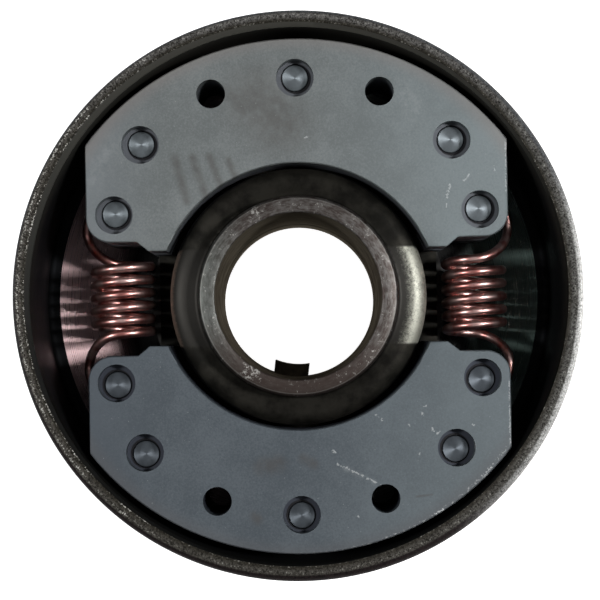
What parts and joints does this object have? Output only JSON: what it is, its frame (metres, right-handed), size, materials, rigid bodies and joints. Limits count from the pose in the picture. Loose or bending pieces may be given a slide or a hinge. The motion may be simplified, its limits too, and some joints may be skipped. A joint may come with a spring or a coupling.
{
  "type": "pulley clutch",
  "caption": "Centrifugal pulley clutch: plate-stack shoes on a bored hub swing out against coil springs inside a drum that carries a belt pulley on a ball bearing.",
  "frame": {"origin": "centre of the belt pulley's rear face, on the axis", "axes": "+Z along the axis out of the open side of the drum, +Y towards the upper shoe, +X towards the right spring as seen from the open side"},
  "size_m": [0.102, 0.102, 0.053],
  "materials": {
    "drum_steel": "dark worn steel",
    "pulley_steel": "dark turned steel",
    "hub_steel": "dark oiled steel",
    "bearing_steel": "ground steel",
    "cage_steel": "pressed steel",
    "seal_rubber": "matt",
    "clip_steel": "blackened spring steel",
    "spring_wire": "coppered spring wire",
    "upper_plate_steel": "dull grey stamped steel",
    "lower_plate_steel": "dull blue-grey stamped steel",
    "pin_steel": "turned steel"
  },
  "bodies": {
    "drum": {"drum_shell": "drum_steel", "belt_pulley": "pulley_steel", "bearing_outer_ring": "bearing_steel", "bearing_rear_seal": "seal_rubber", "bearing_front_seal": "seal_rubber", "bore_clip": "clip_steel"},
    "hub": {"hub": "hub_steel", "bearing_inner_ring": "bearing_steel", "shaft_clip": "clip_steel", "left_spring": "spring_wire", "right_spring": "spring_wire"},
    "bearing_cage": {"bearing_cage": "cage_steel", "bearing_balls": "bearing_steel"},
    "upper_shoe": {"upper_shoe_plate_1": "upper_plate_steel", "upper_shoe_plate_2": "upper_plate_steel", "upper_shoe_plate_3": "upper_plate_steel", "upper_shoe_plate_4": "upper_plate_steel", "upper_shoe_plate_5": "upper_plate_steel", "upper_shoe_plate_6": "upper_plate_steel", "upper_shoe_plate_7": "upper_plate_steel", "upper_shoe_pins": "pin_steel"},
    "lower_shoe": {"lower_shoe_plate_1": "lower_plate_steel", "lower_shoe_plate_2": "lower_plate_steel", "lower_shoe_plate_3": "lower_plate_steel", "lower_shoe_plate_4": "lower_plate_steel", "lower_shoe_plate_5": "lower_plate_steel", "lower_shoe_plate_6": "lower_plate_steel", "lower_shoe_plate_7": "lower_plate_steel", "lower_shoe_pins": "pin_steel"}
  },
  "joints": [
    {"name": "hub_spin", "type": "hinge", "parent": "drum", "child": "hub", "pos_m": [0, 0, 0], "axis": [0, 0, 1], "continuous": true},
    {"name": "cage_spin", "type": "hinge", "parent": "drum", "child": "bearing_cage", "pos_m": [0, 0, 0], "axis": [0, 0, 1], "continuous": true},
    {"name": "upper_shoe_slide", "type": "slide", "parent": "hub", "child": "upper_shoe", "axis": [0, 1, 0], "range_m": [0, 0.0016], "stiffness_N_per_m": 8000, "springref_m": -0.003, "deforming": ["left_spring", "right_spring"]},
    {"name": "lower_shoe_slide", "type": "slide", "parent": "hub", "child": "lower_shoe", "axis": [0, -1, 0], "range_m": [0, 0.0016], "stiffness_N_per_m": 8000, "springref_m": -0.003}
  ],
  "couplings": [
    {"joint": "cage_spin", "follows": "hub_spin", "ratio": 0.4181},
    {"joint": "lower_shoe_slide", "follows": "upper_shoe_slide", "ratio": 1}
  ]
}
